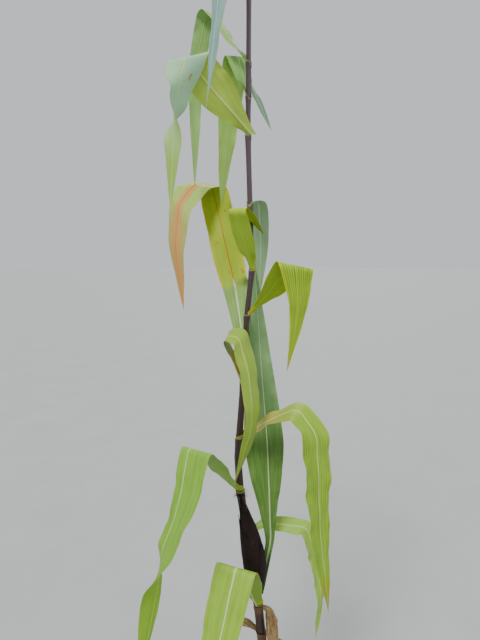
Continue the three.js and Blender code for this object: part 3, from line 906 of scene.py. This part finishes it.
def make_sheath(name, low, high, toward, material, slot, number):
    """A leaf's sheath: a sleeve round the stalk whose two margins overlap opposite the blade."""
    rows = max(int((high - low) / SHEATH_STEP), 6)
    points, rise, ring, around = [], [], [], []
    for layer in (1, 0):
        for i in range(rows + 1):
            t = i / rows
            for j in range(SHEATH_SIDES + 1):
                turn = math.pi * (2 + SHEATH_OVERLAP) * (j / SHEATH_SIDES - 0.5)
                off = SHEATH_OFF + SHEATH_THICK * (layer + j / SHEATH_SIDES) + SHEATH_FLARE * t ** 6
                off += 0.15 * math.sin(14 * turn + number)
                dip = SHEATH_DIP * float(ease((abs(turn) - 2.0) / 1.3)) * t ** 4
                level = low + (high - low) * t - dip
                radius = read_rows(STEM_RADIUS, level) + NODE_SWELL * t ** 8 + off
                points.append(stem_point(level, radius, math.atan2(toward.y, toward.x) + turn))
                rise.append(level * MM)
                ring.append(float(ease((t - 0.93) / 0.07)) * 0.9)
                around.append(turn * 3 + number)
    half = len(points) // 2
    points, faces, on_rim = sheet_shell(points[:half], points[half:], rows + 1, SHEATH_SIDES + 1,
                                        flip=True)
    values = {"rise": rise, "ring": ring, "around": around}
    make_piece(name, points, faces, [material], slot, (), values, creases=on_rim)


def make_sheaths(purple, straw):
    for number, (name, leaf) in enumerate(LEAVES.items()):
        if name in NO_SHEATH:
            continue
        high = leaf["collar"] + 1
        low = max([node for node in NODE_HEIGHTS if node < high - 40], default=12) + 8
        toward = heading(leaf["runs"][0][1], 0)
        material, slot = (straw, "leaf_dry") if leaf["dry"] else (purple, "stem")
        make_sheath("sheath_of_" + name, low, high, toward, material, slot, number)


# Ear

def ear_centre(t):
    height = EAR_FROM + EAR_LONG * t
    stand = stem_radius(height) - EAR_SET_IN + EAR_RADIUS * read_rows(EAR_GIRTH, t)
    return Vector((stem_x(height) + EAR_LEAN * math.sin(math.pi * t), -stand, height))


def lay_husk(number, values):
    """The outer and the inner grid of one husk's points. Their attributes go into values."""
    turn, low, high, spread, layer = HUSKS[number]
    grids = []
    for side in (1, 0):
        grid = []
        for i in range(HUSK_ROWS):
            u = i / (HUSK_ROWS - 1)
            t = low + (high + HUSK_PAST - low) * u
            width = math.sin(math.pi * min(0.16 + 0.84 * u ** 0.75, 1.0)) ** 0.55
            width = spread * max(width, 0.03)
            body = EAR_RADIUS * read_rows(EAR_GIRTH, min(t, 1.0))
            loose = HUSK_LOOSE * max(u - 0.86, 0) / 0.14
            centre = ear_centre(min(t, 1.0)) + Vector((0, 0, max(t - 1.0, 0) * EAR_LONG))
            for j in range(HUSK_COLUMNS):
                v = 2 * j / (HUSK_COLUMNS - 1) - 1
                ridge = HUSK_RIDGE * math.cos(9 * math.pi * v * 0.5)
                radius = body + layer - HUSK_SINK + HUSK_THICK * side + ridge + loose
                grid.append(tuple((centre + heading(turn + width * v, 0) * radius) * MM))
                values["vein"].append(0.03 * v + 0.2 * number)
                values["length"].append(t * 0.3 + number)
                values["edge"].append((1 - abs(v)) * 0.02)
        grids.append(np.array(grid))
    return grids


def make_husks(husk, pale):
    """Husks that wrap the ear in layers, two of them with a pale tip."""
    centres, radii = [], []
    for t in np.linspace(0, 1, EAR_ROWS):
        centres.append(ear_centre(t) * MM)
        radii.append(max(EAR_RADIUS * read_rows(EAR_GIRTH, t) - EAR_SHRINK, 1.0) * MM)
    points, faces = tube(centres, radii, EAR_SIDES)
    count = len(points)
    values = {"vein": [0.0] * count, "length": [0.0] * count, "edge": [0.05] * count}
    kinds = [0] * len(faces)
    for number in range(len(HUSKS)):
        outer, inner = lay_husk(number, values)
        more, quads, _ = sheet_shell(outer, inner, HUSK_ROWS, HUSK_COLUMNS, flip=True)
        faces += [tuple(index + len(points) for index in quad) for quad in quads]
        points += list(more)
        for quad in quads:
            row = min(quad) % (HUSK_ROWS * HUSK_COLUMNS) // HUSK_COLUMNS
            kinds.append(int(number in PALE_HUSKS and row >= HUSK_ROWS - PALE_ROWS))
    make_piece("ear_husks", points, faces, [husk, pale], "ear", ["ear"], values, kinds)


def make_silk(silk):
    """Fine dried strands that spread from the ear's tip."""
    rng = random.Random(11)
    points, faces = [], []
    root = ear_centre(1.0)
    for _ in range(SILK_COUNT):
        turn = rng.uniform(0, 360)
        length = rng.uniform(*SILK_LONG)
        droop = rng.uniform(*SILK_DROOP)
        at = root + heading(turn, 0) * rng.uniform(0, 2.5)
        centres = [at * MM]
        for k in range(SILK_STEPS):
            lift = 75 - droop * (k / (SILK_STEPS - 1))
            at = at + heading(turn + rng.uniform(-25, 25), lift) * (length / SILK_STEPS)
            centres.append(at * MM)
        more, quads = tube(centres, [SILK_RADIUS * MM] * len(centres), 4, len(points))
        points += more
        faces += quads
    make_piece("ear_silk", points, faces, [silk], "ear")


# Tassel

def spikelet(at, along, out, long, wide, first):
    """A small pointed glume pair, as one closed spindle."""
    side = along.cross(out).normalized()
    points = [at]
    for share, girth in ((0.3, 1.0), (0.65, 0.8)):
        for k in range(SPIKELET_SIDES):
            angle = 2 * math.pi * k / SPIKELET_SIDES
            across = side * math.cos(angle) + out * (0.75 * math.sin(angle))
            points.append(at + along * (long * share) + across * (wide * girth))
    points.append(at + along * long)
    low, high = first + 1, first + 1 + SPIKELET_SIDES
    faces = []
    for k in range(SPIKELET_SIDES):
        n = (k + 1) % SPIKELET_SIDES
        faces.append((first, low + n, low + k))
        faces.append((low + k, low + n, high + n, high + k))
        faces.append((high + k, high + n, high + SPIKELET_SIDES))
    return points, faces


def make_tassel_limb(name, node, centres, radii, skins, rng, gap, rows):
    """One axis of the tassel with its rows of spikelets, whose finish is dealt out by spray."""
    points, faces = tube(centres, radii, LIMB_SIDES)
    kinds = [0] * len(faces)
    lengths = np.cumsum([0] + [(b - a).length for a, b in zip(centres, centres[1:])])
    place = lengths[-1] * 0.1
    count = 0
    while place < lengths[-1] - 2 * MM:
        i = max(int(np.searchsorted(lengths, place)) - 1, 0)
        share = (place - lengths[i]) / (lengths[i + 1] - lengths[i])
        at = centres[i].lerp(centres[i + 1], share)
        along = (centres[i + 1] - centres[i]).normalized()
        base = along.orthogonal().normalized()
        for row in range(rows):
            angle = 360 / rows * row + 26 * count + rng.uniform(-15, 15)
            out = Quaternion(along, math.radians(angle)) @ base
            lean = (along * 0.86 + out * rng.uniform(0.3, 0.62)).normalized()
            long = rng.uniform(*SPIKELET_LONG) * MM
            wide = rng.uniform(*SPIKELET_WIDE) * MM
            more, quads = spikelet(at + out * (radii[i] * 0.9), lean, out, long, wide, len(points))
            points += more
            faces += quads
            kinds += [rng.choice((1, 1, 2, 3))] * len(quads)
        place += gap * rng.uniform(0.85, 1.15) * MM
        count += 1
    make_piece(name, points, faces, skins, "tassel", [node], face_materials=kinds)


def make_tassel(skins):
    rng = random.Random(5)
    centres, radii = [], []
    for t in np.linspace(0, 1, LIMB_STEPS):
        height = STEM_TOP - 2 + (SPIKE_LONG + 2) * t
        centres.append(Vector((stem_x(height), 0, height)) * MM)
        radii.append(SPIKE_RADIUS * (1 - SPIKE_TAPER * t) * 0.8 * MM)
    make_tassel_limb("spike", "tassel_spike", centres, radii, skins, rng, SPIKE_GAP, SPIKE_ROWS)
    for i in range(BRANCH_COUNT):
        height = STEM_TOP + BRANCH_FROM + BRANCH_STEP * i
        step = (BRANCH_LONGEST - BRANCH_SHORTEN * i) / LIMB_STEPS
        turn = GOLDEN_TURN * i + BRANCH_TURN
        point = Vector((stem_x(height), 0, height)) + heading(turn, 0)
        centres, radii = [point * MM], [BRANCH_RADIUS * 0.75 * MM]
        for k in range(LIMB_STEPS):
            t = (k + 0.5) / LIMB_STEPS
            kink = 3.5 * math.sin(2.6 * k + i)
            point = point + heading(turn + kink, BRANCH_LIFT - BRANCH_DROOP * t) * step
            centres.append(point * MM)
            radii.append(BRANCH_RADIUS * (1 - BRANCH_TAPER * t) * 0.6 * (1 - 0.35 * t) * MM)
        make_tassel_limb(f"spray_{i + 1}", f"tassel_branch_{i + 1}", centres, radii, skins, rng,
                         BRANCH_GAP, BRANCH_ROWS)


# Stage

def make_stage():
    mesh = bpy.data.meshes.new("floor")
    angles = [2 * math.pi * k / FLOOR_SIDES for k in range(FLOOR_SIDES)]
    ring = [(FLOOR_RADIUS * math.cos(angle), FLOOR_RADIUS * math.sin(angle), 0) for angle in angles]
    mesh.from_pydata(ring, [], [tuple(range(FLOOR_SIDES))])
    mesh.materials.append(grain_material("grey_floor", (0.35, 0.36, 0.35, 1), (0.33, 0.34, 0.33, 1),
                                         3.0, 0.7, relief=0.2))
    add_object("floor", mesh)

    world = bpy.data.worlds.new("studio")
    bpy.context.scene.world = world
    world.use_nodes = True
    shade = world.node_tree.nodes["Background"]
    shade.inputs["Color"].default_value = (0.9, 0.94, 1.0, 1)
    shade.inputs["Strength"].default_value = 0.75
    for name, (power, soft, turn) in LAMPS.items():
        lamp = bpy.data.lights.new(name, "SUN")
        lamp.energy = power
        lamp.angle = math.radians(soft)
        add_object(name, lamp).rotation_euler = [math.radians(angle) for angle in turn]


def make_camera():
    lens = bpy.data.cameras.new("camera")
    lens.lens = CAMERA_LENS
    lens.sensor_width = CAMERA_SENSOR
    lens.clip_start = 0.02
    camera = add_object("camera", lens)
    camera.location = CAMERA_AT
    camera.rotation_euler = (math.radians(90 - CAMERA_PITCH), 0, 0)
    bpy.context.scene.camera = camera


def make_plant():
    record_slots = {row["node"]: row["material_slot"] for row in frame["record"]["subparts"]}
    make_stalk(rind_material("rind", (50, 32, 32), (120, 102, 112), (112, 92, 94), (168, 160, 132)))
    purple = rind_material("sheath_purple", (58, 38, 36), (120, 102, 112), (122, 102, 94),
                           (182, 184, 128))
    straw = rind_material("sheath_straw", (120, 88, 60), (120, 88, 60), (176, 150, 110),
                          (160, 126, 82))
    make_sheaths(purple, straw)
    make_leaves(record_slots)
    make_husks(dry_material("husk_dark", (66, 42, 38), (38, 22, 24), (28, 18, 20), (88, 60, 50)),
               dry_material("husk_tips", (206, 192, 150), (160, 140, 96)))
    make_silk(grain_material("silk_dried", srgb(84, 54, 42), srgb(40, 24, 22), 400, 0.7))
    make_tassel([
        grain_material("tassel_axis", srgb(122, 104, 84), srgb(84, 62, 60), 300, 0.6, stretch=0.2),
        grain_material("spikelet_purple", srgb(124, 88, 86), srgb(86, 54, 60), 350, 0.65),
        grain_material("spikelet_brown", srgb(146, 112, 84), srgb(104, 74, 58), 350, 0.65),
        grain_material("spikelet_straw", srgb(186, 160, 116), srgb(146, 116, 84), 350, 0.65),
    ])


make_camera()
make_stage()
make_plant()
